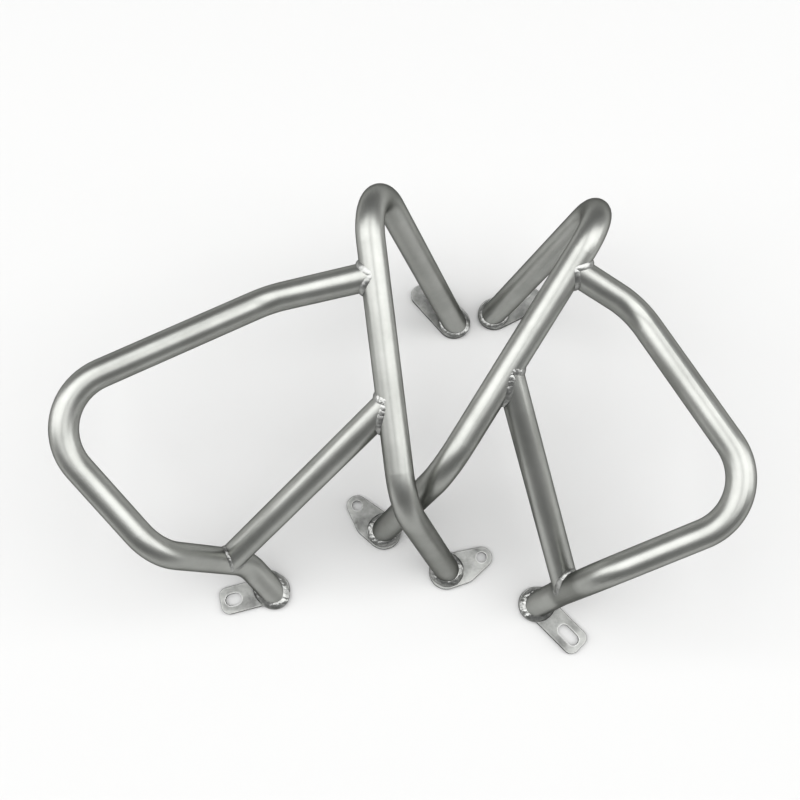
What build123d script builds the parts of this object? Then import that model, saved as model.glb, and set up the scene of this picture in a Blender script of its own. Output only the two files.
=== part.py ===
from build123d import *
import os
from math import acos, cos, sin

os.makedirs("parts", exist_ok=True)

# tube stock and bends
tube_od = 25.0
tube_wall = 2.0
loop_bend_radius = 52.0
knee_bend_radius = 60.0
hook_bend_radius = 38.0

# mount plates, laser cut from one sheet: each has a pad under its tube and a tab for its bolt
plate_thickness = 5.0
plate_edge_break = 0.6
pad_margin = 4.5
bolt_hole_diameter = 10.5
tab_margin = 5.25
foot_reach = 36.5
foot_angle = 161.0
foot_pad_shift = (-1.0, 2.0)
foot_heel = (16.0, 5.5)
foot_heel_radius = 13.5
top_reach = 41.0
top_angle = 57.0
top_pad_shift = (1.0, 0.0)
top_heel = (44.5, -11.5)
top_heel_radius = 11.5
rear_pad_shift = (-1.0, -1.0)
slot_width = 12.0
slot_side_margin = 7.25
slot_end_margin = 5.0
rear_tab_corner = 8.0

# weld beads, larger where two tubes meet than on the plates
joint_weld_radius = 4.2
plate_weld_radius = 3.4

# bend points of each bar in its own frame: the mount plane is z = 0 and the loop reaches out along +x
left_bar = dict(
    side=-1,
    turn_angle=0.0,
    place=(0.0, 0.0),
    foot=(-46.0, -173.5),
    knee=(-3.0, -130.0, 144.5),
    crown=(33.5, 153.5, 243.5),
    hook_end=(-57.0, 82.0),
    loop=[(114.0, 46.0, 178.0), (313.5, -54.0, 192.0), (211.5, -169.5, 130.5), (146.0, -170.0, 39.5)],
    rear=(126.5, -193.0),
    rear_angle=-14.5,
    rear_reach=37.5,
    slot_length=16.5,
    loop_joint=199.0,
    brace_joint=91.5,
    brace_landing=25.0,
)
right_bar = dict(
    side=1,
    turn_angle=-22.4,
    place=(83.0, 18.0),
    foot=(-33.0, -178.5),
    knee=(4.0, -126.5, 148.5),
    crown=(56.0, 153.0, 239.5),
    hook_end=(-14.0, 74.0),
    loop=[(104.0, 62.5, 182.0), (265.0, -56.5, 186.0), (158.5, -159.5, 130.5), (145.5, -173.5, 40.5)],
    rear=(133.5, -188.5),
    rear_angle=-23.0,
    rear_reach=41.0,
    slot_length=23.5,
    loop_joint=204.0,
    brace_joint=104.0,
    brace_landing=19.0,
)


def sweep_round(path, radius):
    start = Plane(origin=path @ 0, z_dir=path % 0)
    return sweep(start * Circle(radius), path)


def past(end, before, extra):
    # runs a tube end on through its plate, for a clean cut on the plate's face
    return end + (end - before).normalized() * extra


def bead(plane, a, b, arc, radius):
    # round weld bead along an ellipse, or half of one
    path = plane * EllipticalCenterArc((0, 0), a, b, start_angle=0, arc_size=arc)
    return sweep_round(path, radius)


def saddle_bead(joint, along, branch):
    # two equal tubes meet in two half ellipses, one on each side of the branch
    across = along.cross(branch).normalized()
    half = acos(along.dot(branch)) / 2
    near = Plane(origin=joint, x_dir=across, z_dir=across.cross(along + branch))
    far = Plane(origin=joint, x_dir=across, z_dir=across.cross(branch - along))
    radius = tube_od / 2
    ring = bead(near, radius, radius / sin(half), 180, joint_weld_radius)
    ring += bead(far, radius, radius / cos(half), 180, joint_weld_radius)
    for way in (-1, 1):
        ring += Pos(joint + across * radius * way) * Sphere(joint_weld_radius)
    return ring


def foot_bead(end, direction):
    # the tube's slanted footprint on the plate
    flat = Vector(direction.X, direction.Y, 0)
    lean = abs(direction.Z)
    plane = Plane(origin=end, x_dir=flat, z_dir=(0, 0, 1))
    return bead(plane, tube_od / 2 / lean, tube_od / 2, 360, plate_weld_radius)


def cut_plate(outline, hole):
    blank = extrude(outline, plate_thickness)
    blank = chamfer(blank.faces().filter_by(Axis.Z).edges(), plate_edge_break)
    return blank - extrude(hole, plate_thickness)


def bolted_plate(side, pad_shift, reach, heel, heel_radius):
    # the heel widens the plate on the side that takes the load
    pad = Pos(pad_shift[0], side * pad_shift[1]) * Circle(tube_od / 2 + pad_margin)
    tab = Pos(reach, 0) * Circle(bolt_hole_diameter / 2 + tab_margin)
    heel = Pos(heel[0], side * heel[1]) * Circle(heel_radius)
    outline = make_hull(pad.edges() + tab.edges() + heel.edges())
    return cut_plate(outline, Pos(reach, 0) * Circle(bolt_hole_diameter / 2))


def slotted_plate(side, reach, slot_length):
    # a square strap with a slot, to take up the fit on the frame
    pad = Pos(rear_pad_shift[0], side * rear_pad_shift[1]) * Circle(tube_od / 2 + pad_margin)
    length = reach + slot_length / 2 + slot_end_margin
    strap = Pos(length / 2, 0) * Rectangle(length, slot_width + 2 * slot_side_margin)
    strap = fillet(strap.vertices().group_by(Axis.X)[-1], rear_tab_corner)
    slot = Pos(reach, 0) * SlotOverall(slot_length, slot_width)
    return cut_plate(pad + strap, slot)


def build_bar(bar):
    side = bar["side"]

    def at(point, z=None):
        return Vector(side * point[0], point[1], point[2] if z is None else z)

    outer = tube_od / 2
    inner = outer - tube_wall
    top_face = Plane.XY.offset(plate_thickness)
    foot = at(bar["foot"], plate_thickness)
    hook_end = at(bar["hook_end"], plate_thickness)
    rear = at(bar["rear"], plate_thickness)
    knee = at(bar["knee"])
    crown = at(bar["crown"])
    loop = [at(point) for point in bar["loop"]]
    up_main = (crown - knee).normalized()

    def cut_at_plate(solid):
        return split(solid, bisect_by=top_face, keep=Keep.TOP)

    main_path = FilletPolyline(
        past(foot, knee, tube_od), knee, crown, past(hook_end, crown, tube_od),
        radius=[knee_bend_radius, hook_bend_radius],
    )
    main_solid = cut_at_plate(sweep_round(main_path, outer))
    main_tube = main_solid - sweep_round(main_path, inner)

    loop_root = knee + up_main * bar["loop_joint"]
    loop_path = FilletPolyline(loop_root, *loop, past(rear, loop[-1], tube_od), radius=loop_bend_radius)
    loop_solid = cut_at_plate(sweep_round(loop_path, outer))
    loop_tube = loop_solid - sweep_round(loop_path, inner) - main_solid

    brace_root = knee + up_main * bar["brace_joint"]
    down_loop = (loop[-1] - loop[-2]).normalized()
    brace_end = loop[-1] - down_loop * bar["brace_landing"]
    brace_path = Line(brace_root, brace_end)
    brace_solid = sweep_round(brace_path, outer)
    brace_tube = brace_solid - sweep_round(brace_path, inner) - main_solid - loop_solid

    def under(end, angle):
        heading = angle if side > 0 else 180 - angle
        return Pos(end.X, end.Y, 0) * Rot(0, 0, heading)

    foot_outline = (foot_pad_shift, foot_reach, foot_heel, foot_heel_radius)
    top_outline = (top_pad_shift, top_reach, top_heel, top_heel_radius)
    foot_plate = under(foot, foot_angle) * bolted_plate(side, *foot_outline)
    top_plate = under(hook_end, top_angle) * bolted_plate(side, *top_outline)
    rear_plate = under(rear, bar["rear_angle"]) * slotted_plate(side, bar["rear_reach"], bar["slot_length"])

    branch_loop = (loop[0] - loop_root).normalized()
    branch_brace = (brace_end - brace_root).normalized()
    loop_weld = saddle_bead(loop_root, up_main, branch_loop) - main_solid - loop_solid
    brace_upper_weld = saddle_bead(brace_root, up_main, branch_brace) - main_solid - brace_solid
    brace_lower_weld = saddle_bead(brace_end, down_loop, branch_brace * -1) - loop_solid - brace_solid
    foot_weld = cut_at_plate(foot_bead(foot, (foot - knee).normalized())) - main_solid
    top_weld = cut_at_plate(foot_bead(hook_end, (hook_end - crown).normalized())) - main_solid
    rear_weld = cut_at_plate(foot_bead(rear, (rear - loop[-1]).normalized())) - loop_solid

    return dict(
        main_tube=main_tube,
        loop_tube=loop_tube,
        brace_tube=brace_tube,
        top_plate=top_plate,
        foot_plate=foot_plate,
        rear_plate=rear_plate,
        loop_weld=loop_weld,
        brace_upper_weld=brace_upper_weld,
        brace_lower_weld=brace_lower_weld,
        top_plate_weld=top_weld,
        foot_plate_weld=foot_weld,
        rear_plate_weld=rear_weld,
    )


# the pair lies as it is fixed, on its mount plane
nodes = {}
for name, bar in (("left", left_bar), ("right", right_bar)):
    stand = Location((*bar["place"], 0), (0, 0, bar["turn_angle"]))
    for piece, solid in build_bar(bar).items():
        nodes[f"{name}_{piece}"] = stand * solid

# the origin is the middle of the pair's footprint
box = Compound(children=[Compound(solid.solids()) for solid in nodes.values()]).bounding_box()
centre = Pos(-box.center().X, -box.center().Y, 0)
for name, solid in nodes.items():
    export_step(centre * solid, f"parts/{name}.step")
    print(name, len(solid.solids()), round(solid.volume, 1))
print("footprint centre", box.center(), "size", box.size)
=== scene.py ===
import bpy
import bmesh
import math
import numpy as np
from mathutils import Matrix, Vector


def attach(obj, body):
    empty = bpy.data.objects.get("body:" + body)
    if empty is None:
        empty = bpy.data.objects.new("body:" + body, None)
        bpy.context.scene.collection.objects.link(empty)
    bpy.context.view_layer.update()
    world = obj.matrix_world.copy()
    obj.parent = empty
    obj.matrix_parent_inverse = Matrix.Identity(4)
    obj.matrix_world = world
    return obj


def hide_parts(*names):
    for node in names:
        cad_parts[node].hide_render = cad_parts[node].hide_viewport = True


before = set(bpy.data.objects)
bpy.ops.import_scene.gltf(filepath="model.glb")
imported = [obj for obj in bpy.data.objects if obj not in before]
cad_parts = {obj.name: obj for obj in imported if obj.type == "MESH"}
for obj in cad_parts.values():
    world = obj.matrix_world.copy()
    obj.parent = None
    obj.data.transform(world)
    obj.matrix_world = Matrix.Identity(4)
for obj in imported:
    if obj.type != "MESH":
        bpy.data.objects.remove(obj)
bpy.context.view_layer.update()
scene = bpy.context.scene
scene.view_settings.view_transform = "Standard"
print("frame loaded:", len(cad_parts), "nodes")


# node helpers

def addNode(tree, kind, place, **settings):
    node = tree.nodes.new(kind)
    node.location = place
    for name, value in settings.items():
        setattr(node, name, value)
    return node


def setInputs(node, **values):
    for name, value in values.items():
        node.inputs[name.replace("_", " ")].default_value = value
    return node


def mathNode(tree, operation, place, *values, clamp=False):
    node = addNode(tree, "ShaderNodeMath", place, operation=operation, use_clamp=clamp)
    for socket, value in zip(node.inputs, values):
        if isinstance(value, (int, float)):
            socket.default_value = value
        else:
            tree.links.new(value, socket)
    return node.outputs[0]


def noiseNode(tree, place, vector, scale, **settings):
    node = setInputs(addNode(tree, "ShaderNodeTexNoise", place), **settings)
    tree.links.new(vector, node.inputs["Vector"])
    tree.links.new(scale, node.inputs["Scale"])
    return node.outputs["Fac"]


def mixColours(tree, place, factor, first, second):
    # a colour mix keeps its two colours on sockets 6 and 7 and its result on output 2
    node = addNode(tree, "ShaderNodeMix", place, data_type="RGBA")
    tree.links.new(factor, node.inputs["Factor"])
    for socket, colour in zip(node.inputs[6:8], (first, second)):
        if isinstance(colour, tuple):
            socket.default_value = (*colour, 1)
        else:
            tree.links.new(colour, socket)
    return node.outputs[2]


def newGroup(name, inputs, outputs):
    group = bpy.data.node_groups.new(name, "ShaderNodeTree")
    for label, value in inputs.items():
        socket = group.interface.new_socket(name=label, in_out="INPUT", socket_type="NodeSocketFloat")
        socket.default_value = value
    for label in outputs:
        group.interface.new_socket(name=label, in_out="OUTPUT", socket_type="NodeSocketFloat")
    given = addNode(group, "NodeGroupInput", (-900, 0))
    return group, given, addNode(group, "NodeGroupOutput", (700, 0))


# the sprayed metallic coat: cloudy tone, fine flake and a faint orange peel
sprayed = dict(cloudScale=28.0, flakeScale=2600.0, peelScale=420.0, gritShare=0.35)


def makeCoatGroup():
    group, given, result = newGroup(
        "sprayedCoat",
        {
            "Cloud Scale": sprayed["cloudScale"],
            "Flake Scale": sprayed["flakeScale"],
            "Peel Scale": sprayed["peelScale"],
        },
        ("Tone", "Flake", "Height"),
    )
    place = addNode(group, "ShaderNodeTexCoord", (-900, 300)).outputs["Object"]
    scale = given.outputs
    clouds = noiseNode(group, (-600, 300), place, scale["Cloud Scale"], Detail=5.0, Roughness=0.6)
    flake = noiseNode(group, (-600, 0), place, scale["Flake Scale"], Detail=2.0, Roughness=0.7)
    peel = noiseNode(group, (-600, -300), place, scale["Peel Scale"], Detail=1.0, Roughness=0.4)
    grit = mathNode(group, "MULTIPLY", (-300, -100), flake, sprayed["gritShare"])
    height = mathNode(group, "ADD", (-100, -200), peel, grit)
    for label, value in (("Tone", clouds), ("Flake", flake), ("Height", height)):
        group.links.new(value, result.inputs[label])
    return group


# wear and painted shade: fine scratches, edges where the coat is thin, and painted shade that darkens
# the hollows by how closed in they are
wearAndShadeSettings = dict(
    scratchScale=90.0, scratchTurn=(0.4, 0.2, 0.7), scratchStretch=(1.0, 14.0, 6.0),
    scratchFrom=0.56, scratchTo=0.7, edgeReach=0.0012, edgeGain=4.0, hollowReach=0.006, samples=6,
)


def makeWearAndShadeGroup():
    group, given, result = newGroup(
        "wearAndPaintedShade",
        {
            "Scratch Scale": wearAndShadeSettings["scratchScale"],
            "Edge Reach": wearAndShadeSettings["edgeReach"],
            "Hollow Reach": wearAndShadeSettings["hollowReach"],
        },
        ("Scratches", "Edges", "Hollow Shade"),
    )
    links = group.links
    place = addNode(group, "ShaderNodeTexCoord", (-900, 300)).outputs["Object"]
    turn = addNode(group, "ShaderNodeMapping", (-700, 300))
    setInputs(turn, Rotation=wearAndShadeSettings["scratchTurn"], Scale=wearAndShadeSettings["scratchStretch"])
    links.new(place, turn.inputs["Vector"])
    scratch = noiseNode(
        group, (-500, 300), turn.outputs["Vector"], given.outputs["Scratch Scale"],
        Detail=3.0, Roughness=0.75, Distortion=0.3,
    )
    fine = addNode(group, "ShaderNodeValToRGB", (-300, 300))
    fine.color_ramp.elements[0].position = wearAndShadeSettings["scratchFrom"]
    fine.color_ramp.elements[1].position = wearAndShadeSettings["scratchTo"]
    links.new(scratch, fine.inputs["Fac"])

    # an edge is where the rounded normal leaves the true one
    bevel = addNode(group, "ShaderNodeBevel", (-700, -50), samples=wearAndShadeSettings["samples"])
    links.new(given.outputs["Edge Reach"], bevel.inputs["Radius"])
    surface = addNode(group, "ShaderNodeNewGeometry", (-700, -250))
    facing = addNode(group, "ShaderNodeVectorMath", (-450, -100), operation="DOT_PRODUCT")
    links.new(bevel.outputs["Normal"], facing.inputs[0])
    links.new(surface.outputs["Normal"], facing.inputs[1])
    edge = mathNode(group, "SUBTRACT", (-250, -100), 1.0, facing.outputs["Value"])
    edge = mathNode(group, "MULTIPLY", (-50, -100), edge, wearAndShadeSettings["edgeGain"], clamp=True)

    # painted shade: the more closed in a point is by nearby surfaces, the darker its colour
    hollowShade = addNode(group, "ShaderNodeAmbientOcclusion", (-450, -400), samples=wearAndShadeSettings["samples"])
    links.new(given.outputs["Hollow Reach"], hollowShade.inputs["Distance"])
    closed = mathNode(group, "SUBTRACT", (-250, -400), 1.0, hollowShade.outputs["AO"])
    for label, value in (("Scratches", fine.outputs["Color"]), ("Edges", edge), ("Hollow Shade", closed)):
        links.new(value, result.inputs[label])
    return group


coatGroup = makeCoatGroup()
wearAndShadeGroup = makeWearAndShadeGroup()

# one coat per kind of piece, and what all three share
# each coat's darkest colour, for the hollows, is painted shade that the occlusion mask mixes in
coats = {
    "tube_coat": dict(
        name="silverTubeCoat", light=(0.425, 0.431, 0.41), dark=(0.355, 0.361, 0.342),
        hollowShade=(0.19, 0.192, 0.183), worn=(0.50, 0.505, 0.49), wear=0.3, edgeReach=0.0012,
        edgeTint=0.08, roughness=0.36, spread=0.08, cloud=28.0, bump=0.05, depth=0.00012,
        scratches=0.02,
    ),
    # the plate coat is darker than the tube coat: partly the plates' own mottled tone, partly painted
    # shade
    "plate_coat": dict(
        name="silverPlateCoat", light=(0.37, 0.375, 0.361), dark=(0.14, 0.142, 0.137),
        hollowShade=(0.08, 0.08, 0.077), worn=(0.62, 0.625, 0.61), wear=0.9, edgeReach=0.0022,
        edgeTint=0.2, roughness=0.46, spread=0.2, cloud=48.0, bump=0.3, depth=0.0003,
        scratches=0.2,
    ),
    "weld_coat": dict(
        name="silverWeldCoat", light=(0.47, 0.475, 0.46), dark=(0.27, 0.273, 0.265),
        hollowShade=(0.14, 0.14, 0.135), worn=(0.56, 0.565, 0.55), wear=0.2, edgeReach=0.0008,
        edgeTint=0.12, roughness=0.32, spread=0.12, cloud=160.0, bump=0.2, depth=0.0002,
        scratches=0.0,
    ),
}
allCoats = dict(metallic=1.0, toneFrom=0.35, toneTo=0.65, flakeMiddle=0.5, edgePolish=0.1)


def makeCoat(look):
    material = bpy.data.materials.new(look["name"])
    material.use_nodes = True
    tree = material.node_tree
    links = tree.links
    tree.nodes.clear()
    output = addNode(tree, "ShaderNodeOutputMaterial", (900, 0))
    shader = addNode(tree, "ShaderNodeBsdfPrincipled", (600, 0))
    setInputs(shader, Metallic=allCoats["metallic"], Specular_Tint=(look["edgeTint"],) * 3 + (1,))
    links.new(shader.outputs["BSDF"], output.inputs["Surface"])
    coat = addNode(tree, "ShaderNodeGroup", (-600, 200), node_tree=coatGroup)
    setInputs(coat, Cloud_Scale=look["cloud"])
    wearAndShade = addNode(tree, "ShaderNodeGroup", (-600, -200), node_tree=wearAndShadeGroup)
    setInputs(wearAndShade, Edge_Reach=look["edgeReach"])

    # colour: cloudy tone, then painted shade in the hollows, then the worn edges
    spread = addNode(tree, "ShaderNodeMapRange", (-450, 400))
    setInputs(spread, From_Min=allCoats["toneFrom"], From_Max=allCoats["toneTo"])
    links.new(coat.outputs["Tone"], spread.inputs["Value"])
    tone = mixColours(tree, (-300, 300), spread.outputs["Result"], look["dark"], look["light"])
    # painted shade: the colour darkens towards the hollow colour where the surface is closed in
    shadeMixed = mixColours(tree, (0, 300), wearAndShade.outputs["Hollow Shade"], tone, look["hollowShade"])
    thin = mathNode(tree, "MULTIPLY", (-150, 500), wearAndShade.outputs["Edges"], look["wear"])
    rubbed = mixColours(tree, (250, 300), thin, shadeMixed, look["worn"])
    links.new(rubbed, shader.inputs["Base Color"])

    # roughness: flake and scratches raise it, and rubbed edges lower it
    rough = mathNode(tree, "SUBTRACT", (-300, 0), coat.outputs["Flake"], allCoats["flakeMiddle"])
    rough = mathNode(tree, "MULTIPLY_ADD", (-150, 0), rough, look["spread"], look["roughness"])
    scratched = mathNode(tree, "MULTIPLY", (-150, -150), wearAndShade.outputs["Scratches"], look["scratches"])
    rough = mathNode(tree, "ADD", (50, -50), rough, scratched)
    polished = mathNode(tree, "MULTIPLY", (-150, -300), wearAndShade.outputs["Edges"], allCoats["edgePolish"])
    rough = mathNode(tree, "SUBTRACT", (250, -50), rough, polished, clamp=True)
    links.new(rough, shader.inputs["Roughness"])

    bump = addNode(tree, "ShaderNodeBump", (350, -300))
    setInputs(bump, Strength=look["bump"], Distance=look["depth"])
    links.new(coat.outputs["Height"], bump.inputs["Height"])
    links.new(bump.outputs["Normal"], shader.inputs["Normal"])
    return material


materials = {slot: makeCoat(look) for slot, look in coats.items()}
for name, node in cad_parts.items():
    ending = name.rsplit("_", 1)[1]
    node.data.materials.clear()
    node.data.materials.append(materials[ending + "_coat"])
print("coats made:", ", ".join(materials))


# weld beads, laid along the curves where a tube meets a tube or a plate
weldBead = dict(
    tubeRadius=0.0125, plateTop=0.005, jointLeg=0.0038, plateLeg=0.0042, crown=0.0006,
    sink=0.0003, root=0.0009, pathPoints=560, acrossPoints=16, seamSpan=2,
    rippleLength=0.0046, rippleHeight=0.0002, crescent=0.35, grooveSharpness=2.5, toeHold=6.0,
    jointLump=0.0012, plateLump=0.0021, lumpScale=150.0, lumpDetail=2.0, lumpMiddle=0.5, seed=7,
)

# tube to tube: where the axes cross, the run's way and the branch's way
# a joint with its own leg, lump or ripple goes by that
tubeJoints = {
    "left_loop_weld": dict(
        at=(-0.02086, 0.11001, 0.20963), run=(-0.12066, 0.93719, 0.32727),
        branch=(-0.94137, -0.10631, -0.32018), leg=0.0032, lump=0.0005, ripple=0.00007,
    ),
    "left_brace_upper_weld": dict(
        at=(-0.00789, 0.00926, 0.17445), run=(-0.12066, 0.93719, 0.32727),
        branch=(-0.66771, -0.54988, -0.50180),
    ),
    "left_brace_lower_weld": dict(
        at=(-0.16045, -0.11638, 0.05979), run=(0.58418, -0.00446, -0.81161),
        branch=(0.66771, 0.54988, 0.50180), leg=0.002, lump=0.0005,
    ),
    "right_loop_weld": dict(
        at=(0.14429, 0.11608, 0.21069), run=(0.51787, 0.79930, 0.30485),
        branch=(0.83346, -0.37436, -0.40644), leg=0.0032, lump=0.0005, ripple=0.00007,
    ),
    "right_brace_upper_weld": dict(
        at=(0.09250, 0.03615, 0.18020), run=(0.51787, 0.79930, 0.30485),
        branch=(0.27851, -0.79524, -0.53854), lump=0.0016,
    ),
    "right_brace_lower_weld": dict(
        at=(0.15514, -0.14270, 0.05909), run=(-0.18862, -0.08684, -0.97820),
        branch=(-0.27851, 0.79524, 0.53854),
    ),
}

# tube to plate: the tube's foot on the plate and the way it leaves
plateJoints = {
    "left_top_plate_weld": dict(
        at=(0.05715, 0.13550, 0.00500), tube=(-0.34161, 0.26989, 0.90026), leg=0.003, lump=0.0009,
    ),
    "left_foot_plate_weld": dict(
        at=(0.04615, -0.12000, 0.00500), tube=(-0.28230, 0.28558, 0.91583),
    ),
    "left_rear_plate_weld": dict(
        at=(-0.12635, -0.13950, 0.00500), tube=(-0.42558, 0.50196, 0.75294),
    ),
    "right_top_plate_weld": dict(
        at=(0.09841, 0.14526, 0.00500), tube=(0.36873, 0.18029, 0.91188), leg=0.003, lump=0.0009,
    ),
    "right_foot_plate_weld": dict(
        at=(-0.01538, -0.08095, 0.00500), tube=(0.34399, 0.21634, 0.91371),
    ),
    "right_rear_plate_weld": dict(
        at=(0.13475, -0.15365, 0.00500), tube=(0.41648, 0.23029, 0.87950),
    ),
}


def unit(vector):
    return vector / np.linalg.norm(vector)


def tubeSkin(axisPoint, axis):
    # the nearest place on a tube's wall, sunk a little into it, and the way the wall looks there
    def skin(place, sink=0.0):
        off = place - axisPoint
        off = off - np.dot(off, axis) * axis
        return place - off + unit(off) * (weldBead["tubeRadius"] - sink), unit(off)
    return skin


def plateSkin(place, sink=0.0):
    return np.array((place[0], place[1], weldBead["plateTop"] - sink)), np.array((0.0, 0.0, 1.0))


def roundTurns():
    return np.linspace(0, 2 * math.pi, weldBead["pathPoints"], endpoint=False)


def saddlePath(joint, run, branch):
    # the curve in which two equal tubes meet
    radius = weldBead["tubeRadius"]
    across = unit(np.cross(run, branch))
    lean = unit(run - np.dot(run, branch) * branch)
    away = unit(branch - np.dot(run, branch) * run)
    path = []
    for turn in roundTurns():
        ring = radius * (math.cos(turn) * lean + math.sin(turn) * across)
        rise = (radius * abs(math.cos(turn)) - np.dot(ring, away)) / np.dot(branch, away)
        path.append(joint + ring + rise * branch)
    return path


def footPath(foot, tube):
    # the tube's slanted footprint on the plate
    side = unit(np.cross(tube, (0, 0, 1)))
    lean = np.cross(side, tube)
    path = []
    for turn in roundTurns():
        ring = weldBead["tubeRadius"] * (math.cos(turn) * side + math.sin(turn) * lean)
        path.append(foot + ring - tube * ring[2] / tube[2])
    return path


def evenPath(path):
    # the same closed line with points an equal length apart
    closed = np.array(path + path[:1])
    length = np.concatenate(([0], np.cumsum(np.linalg.norm(np.diff(closed, axis=0), axis=1))))
    stops = np.linspace(0, length[-1], weldBead["pathPoints"], endpoint=False)
    return np.stack([np.interp(stops, length, closed[:, i]) for i in range(3)], axis=1), length[-1]


def filletMesh(name, path, skinA, skinB, leg):
    # a corner fill between two walls: a toe on each wall, a low crown between, and a sunk root
    count, wide, span = len(path), weldBead["acrossPoints"], weldBead["seamSpan"]
    seams = np.roll(path, -span, axis=0) - np.roll(path, span, axis=0)
    firstA, firstB = skinA(path[0])[1], skinB(path[0])[1]
    sideA = np.sign(np.dot(np.cross(firstA, seams[0]), firstB))
    sideB = np.sign(np.dot(np.cross(firstB, seams[0]), firstA))
    points, along, across = [], [], []
    for i in range(count):
        wallA, wallB, seam = skinA(path[i])[1], skinB(path[i])[1], unit(seams[i])
        toeA = skinA(path[i] + sideA * leg * unit(np.cross(wallA, seam)), weldBead["sink"])[0]
        toeB = skinB(path[i] + sideB * leg * unit(np.cross(wallB, seam)), weldBead["sink"])[0]
        out = unit(wallA + wallB)
        for share in np.linspace(0, 1, wide):
            crown = weldBead["crown"] * 4 * share * (1 - share)
            points.append(toeA * (1 - share) + toeB * share + out * crown)
            along.append(i / count)
            across.append(share)
        points.append(path[i] - out * weldBead["root"])
        along.append(i / count)
        across.append(0.0)
    faces = []
    ring = wide + 1
    for i in range(count):
        here, there = i * ring, (i + 1) % count * ring
        for j in range(ring):
            k = (j + 1) % ring
            faces.append((here + j, there + j, there + k, here + k))
    mesh = bpy.data.meshes.new(name + "Blank")
    mesh.from_pydata([tuple(point) for point in points], [], faces)
    if np.dot(mesh.polygons[wide // 2].normal, unit(firstA + firstB)) < 0:
        mesh.flip_normals()
    for label, values in (("along", along), ("across", across)):
        mesh.attributes.new(label, "FLOAT", "POINT").data.foreach_set("value", values)
    return mesh


def makeBeadTree():
    tree = bpy.data.node_groups.new("rippledBead", "GeometryNodeTree")
    face = tree.interface
    face.new_socket(name="Blank", in_out="INPUT", socket_type="NodeSocketGeometry")
    for label in ("Ripples", "Ripple Height", "Crescent", "Lump Height", "Lump Scale", "Seed"):
        face.new_socket(name=label, in_out="INPUT", socket_type="NodeSocketFloat")
    face.new_socket(name="Coat", in_out="INPUT", socket_type="NodeSocketMaterial")
    face.new_socket(name="Bead", in_out="OUTPUT", socket_type="NodeSocketGeometry")
    links = tree.links
    given = addNode(tree, "NodeGroupInput", (-1400, 0)).outputs
    result = addNode(tree, "NodeGroupOutput", (1400, 0))

    def readAttribute(label, place):
        node = addNode(tree, "GeometryNodeInputNamedAttribute", place, data_type="FLOAT")
        return setInputs(node, Name=label).outputs["Attribute"]

    along = readAttribute("along", (-1400, -300))
    across = readAttribute("across", (-1400, -500))

    # each puddle freezes in a crescent, and sinks towards the next
    offSide = mathNode(tree, "MULTIPLY_ADD", (-1200, -500), across, 2.0, -1.0)
    bow = mathNode(tree, "MULTIPLY", (-1050, -500), offSide, offSide)
    bow = mathNode(tree, "MULTIPLY", (-900, -500), bow, given["Crescent"])
    phase = mathNode(tree, "MULTIPLY", (-1200, -300), along, given["Ripples"])
    phase = mathNode(tree, "ADD", (-750, -300), phase, bow)
    phase = mathNode(tree, "FRACT", (-600, -300), phase)
    groove = mathNode(tree, "MULTIPLY_ADD", (-450, -300), phase, 2.0, -1.0)
    groove = mathNode(tree, "ABSOLUTE", (-300, -300), groove)
    groove = mathNode(tree, "POWER", (-150, -300), groove, weldBead["grooveSharpness"])
    groove = mathNode(tree, "MULTIPLY", (0, -300), groove, given["Ripple Height"])

    # uneven metal
    lumps = addNode(tree, "ShaderNodeTexNoise", (-300, -600), noise_dimensions="4D")
    setInputs(lumps, Detail=weldBead["lumpDetail"])
    links.new(given["Lump Scale"], lumps.inputs["Scale"])
    links.new(given["Seed"], lumps.inputs["W"])
    rise = mathNode(tree, "SUBTRACT", (-100, -600), lumps.outputs["Fac"], weldBead["lumpMiddle"])
    rise = mathNode(tree, "MULTIPLY", (50, -600), rise, given["Lump Height"])
    rise = mathNode(tree, "SUBTRACT", (200, -400), rise, groove)

    # the toes stay on the walls
    hold = mathNode(tree, "SUBTRACT", (-750, -700), 1.0, across)
    hold = mathNode(tree, "MULTIPLY", (-600, -700), hold, across)
    hold = mathNode(tree, "MULTIPLY", (-450, -700), hold, weldBead["toeHold"], clamp=True)
    rise = mathNode(tree, "MULTIPLY", (350, -400), rise, hold)

    facing = addNode(tree, "GeometryNodeInputNormal", (350, -600))
    push = addNode(tree, "ShaderNodeVectorMath", (550, -400), operation="SCALE")
    links.new(facing.outputs["Normal"], push.inputs[0])
    links.new(rise, push.inputs["Scale"])
    moved = addNode(tree, "GeometryNodeSetPosition", (700, 200))
    links.new(push.outputs["Vector"], moved.inputs["Offset"])
    smooth = addNode(tree, "GeometryNodeSetShadeSmooth", (850, 200))
    real = addNode(tree, "GeometryNodeRealizeInstances", (1000, 200))
    coat = addNode(tree, "GeometryNodeSetMaterial", (1200, 200))
    links.new(given["Coat"], coat.inputs["Material"])
    shape = given["Blank"]
    for node in (moved, smooth, real, coat):
        links.new(shape, node.inputs["Geometry"])
        shape = node.outputs["Geometry"]
    links.new(shape, result.inputs["Bead"])
    return tree


beadTree = makeBeadTree()
socketOf = {
    item.name: item.identifier for item in beadTree.interface.items_tree if item.in_out == "INPUT"
}


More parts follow.
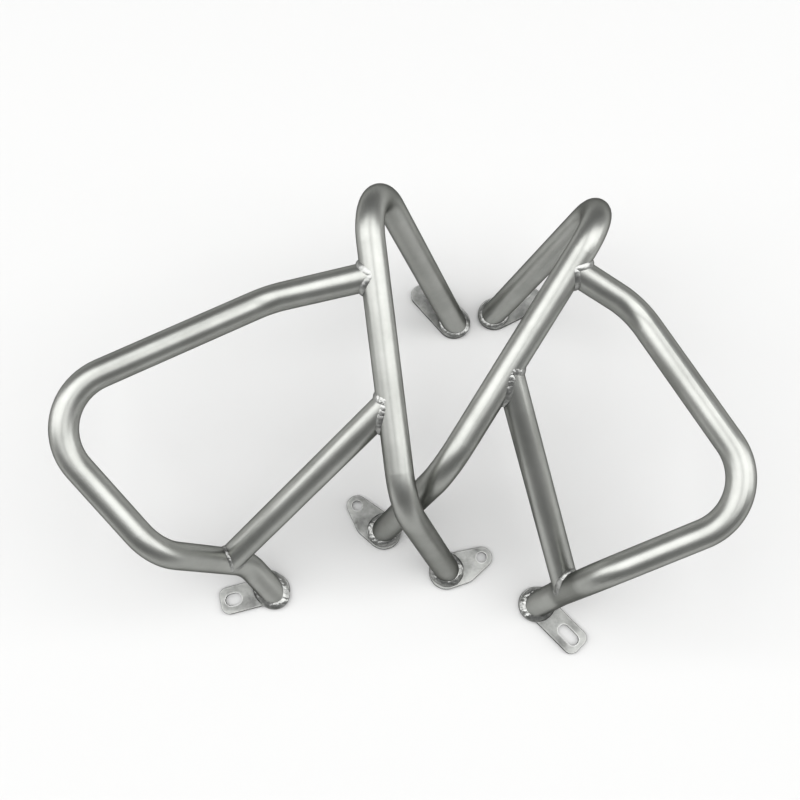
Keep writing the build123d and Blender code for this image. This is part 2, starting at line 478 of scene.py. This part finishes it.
def layBead(name, path, skinA, skinB, leg, lump, ripple, seed):
    path, length = evenPath(path)
    blank = filletMesh(name, path, skinA, skinB, leg)
    guide = bpy.data.objects.new(name + "Guide", blank)
    scene.collection.objects.link(guide)
    modifier = guide.modifiers.new("bead", "NODES")
    modifier.node_group = beadTree
    values = {
        "Ripples": float(round(length / weldBead["rippleLength"])),
        "Ripple Height": ripple,
        "Crescent": weldBead["crescent"],
        "Lump Height": lump,
        "Lump Scale": weldBead["lumpScale"],
        "Seed": float(seed),
        "Coat": materials["weld_coat"],
    }
    for label, value in values.items():
        modifier[socketOf[label]] = value
    view = bpy.context.evaluated_depsgraph_get()
    mesh = bpy.data.meshes.new_from_object(guide.evaluated_get(view))
    mesh.name = name
    guide.modifiers.remove(modifier)
    bpy.data.objects.remove(guide)
    bpy.data.meshes.remove(blank)
    piece = bpy.data.objects.new(name, mesh)
    scene.collection.objects.link(piece)
    return piece


def beadSize(joint, kind):
    # a joint's own sizes, or else those of its kind
    leg = joint.get("leg", weldBead[kind + "Leg"])
    lump = joint.get("lump", weldBead[kind + "Lump"])
    return leg, lump, joint.get("ripple", weldBead["rippleHeight"])


beads = {}
for node, joint in tubeJoints.items():
    at, run, branch = (np.array(joint[key]) for key in ("at", "run", "branch"))
    walls = tubeSkin(at, run), tubeSkin(at, branch)
    beads[node] = saddlePath(at, run, branch), *walls, *beadSize(joint, "joint")
for node, joint in plateJoints.items():
    at, tube = (np.array(joint[key]) for key in ("at", "tube"))
    beads[node] = footPath(at, tube), plateSkin, tubeSkin(at, tube), *beadSize(joint, "plate")
for count, (node, bead) in enumerate(beads.items()):
    piece = layBead(node + "_bead", *bead, weldBead["seed"] + count)
    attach(piece, "root")
    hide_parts(node)
print("weld beads laid:", len(beads))


# floor, lights and camera
studio = dict(
    floorRadius=6.5, coveRadius=1.8, wallTop=3.4, coveSteps=24, turnSteps=128, mergeReach=0.0001,
    floorColour=(0.71, 0.71, 0.706), floorRoughness=0.9,
    worldColour=(0.18, 0.182, 0.183), worldStrength=1.0,
    stripPlace=(2.3, -0.05, 3.6), stripSize=(4.1, 4.0), stripPower=137.0,
    sidePlace=(4.75, 0.05, 2.15), sideAim=(0, 0, 0.12), sideSize=(3.25, 2.75), sidePower=70.0,
)


def makeFloor():
    # a round sweep: flat floor, a cove and a low wall, turned about the middle
    flat, cove = studio["floorRadius"], studio["coveRadius"]
    profile = [(0.0, 0.0)]
    for turn in np.linspace(0, math.pi / 2, studio["coveSteps"]):
        profile.append((flat + cove * math.sin(turn), cove * (1 - math.cos(turn))))
    profile.append((flat + cove, studio["wallTop"]))
    shape = bmesh.new()
    points = [shape.verts.new((reach, 0, rise)) for reach, rise in profile]
    edges = [shape.edges.new(pair) for pair in zip(points, points[1:])]
    bmesh.ops.spin(
        shape, geom=points + edges, cent=(0, 0, 0), axis=(0, 0, 1), angle=2 * math.pi,
        steps=studio["turnSteps"], use_merge=True,
    )
    bmesh.ops.remove_doubles(shape, verts=shape.verts, dist=studio["mergeReach"])
    bmesh.ops.recalc_face_normals(shape, faces=shape.faces)
    mesh = bpy.data.meshes.new("paleFloor")
    shape.to_mesh(mesh)
    shape.free()
    mesh.shade_smooth()
    floor = bpy.data.objects.new("paleFloor", mesh)
    scene.collection.objects.link(floor)
    paint = bpy.data.materials.new("paleFloorPaint")
    paint.use_nodes = True
    setInputs(
        paint.node_tree.nodes["Principled BSDF"], Base_Color=(*studio["floorColour"], 1),
        Roughness=studio["floorRoughness"], Specular_IOR_Level=0.0,
    )
    mesh.materials.append(paint)


def aimAt(thing, target):
    thing.rotation_euler = (Vector(target) - thing.location).to_track_quat("-Z", "Y").to_euler()


def addPanel(name, place, target, size, power):
    lamp = bpy.data.lights.new(name, "AREA")
    lamp.shape = "RECTANGLE"
    lamp.size, lamp.size_y = size
    lamp.energy = power
    panel = bpy.data.objects.new(name, lamp)
    panel.location = place
    aimAt(panel, target)
    panel.visible_camera = False
    scene.collection.objects.link(panel)


makeFloor()
for way, side in ((-1, "left"), (1, "right")):
    # two panels overhead with a narrow gap between, and one at each side
    x, y, z = studio["stripPlace"]
    addPanel(
        side + "Strip", (way * x, y, z), (way * x, y, 0), studio["stripSize"], studio["stripPower"],
    )
    x, y, z = studio["sidePlace"]
    addPanel(
        side + "Panel", (way * x, y, z), studio["sideAim"], studio["sideSize"], studio["sidePower"],
    )
world = bpy.data.worlds.new("studioWorld")
scene.world = world
world.use_nodes = True
setInputs(
    world.node_tree.nodes["Background"],
    Color=(*studio["worldColour"], 1), Strength=studio["worldStrength"],
)

photoView = dict(
    target=(0.00015, 0.0535, 0.0), distance=1.0328, elevation=76.0, lens=45.0, sensor=36.0,
)


def addCamera():
    lens = bpy.data.cameras.new("photoCamera")
    lens.lens = photoView["lens"]
    lens.sensor_width = photoView["sensor"]
    lens.dof.use_dof = False
    camera = bpy.data.objects.new("photoCamera", lens)
    rise = math.radians(photoView["elevation"])
    away = photoView["distance"] * Vector((0, -math.cos(rise), math.sin(rise)))
    camera.location = Vector(photoView["target"]) + away
    aimAt(camera, photoView["target"])
    scene.collection.objects.link(camera)
    scene.camera = camera


addCamera()
print("studio and camera set")
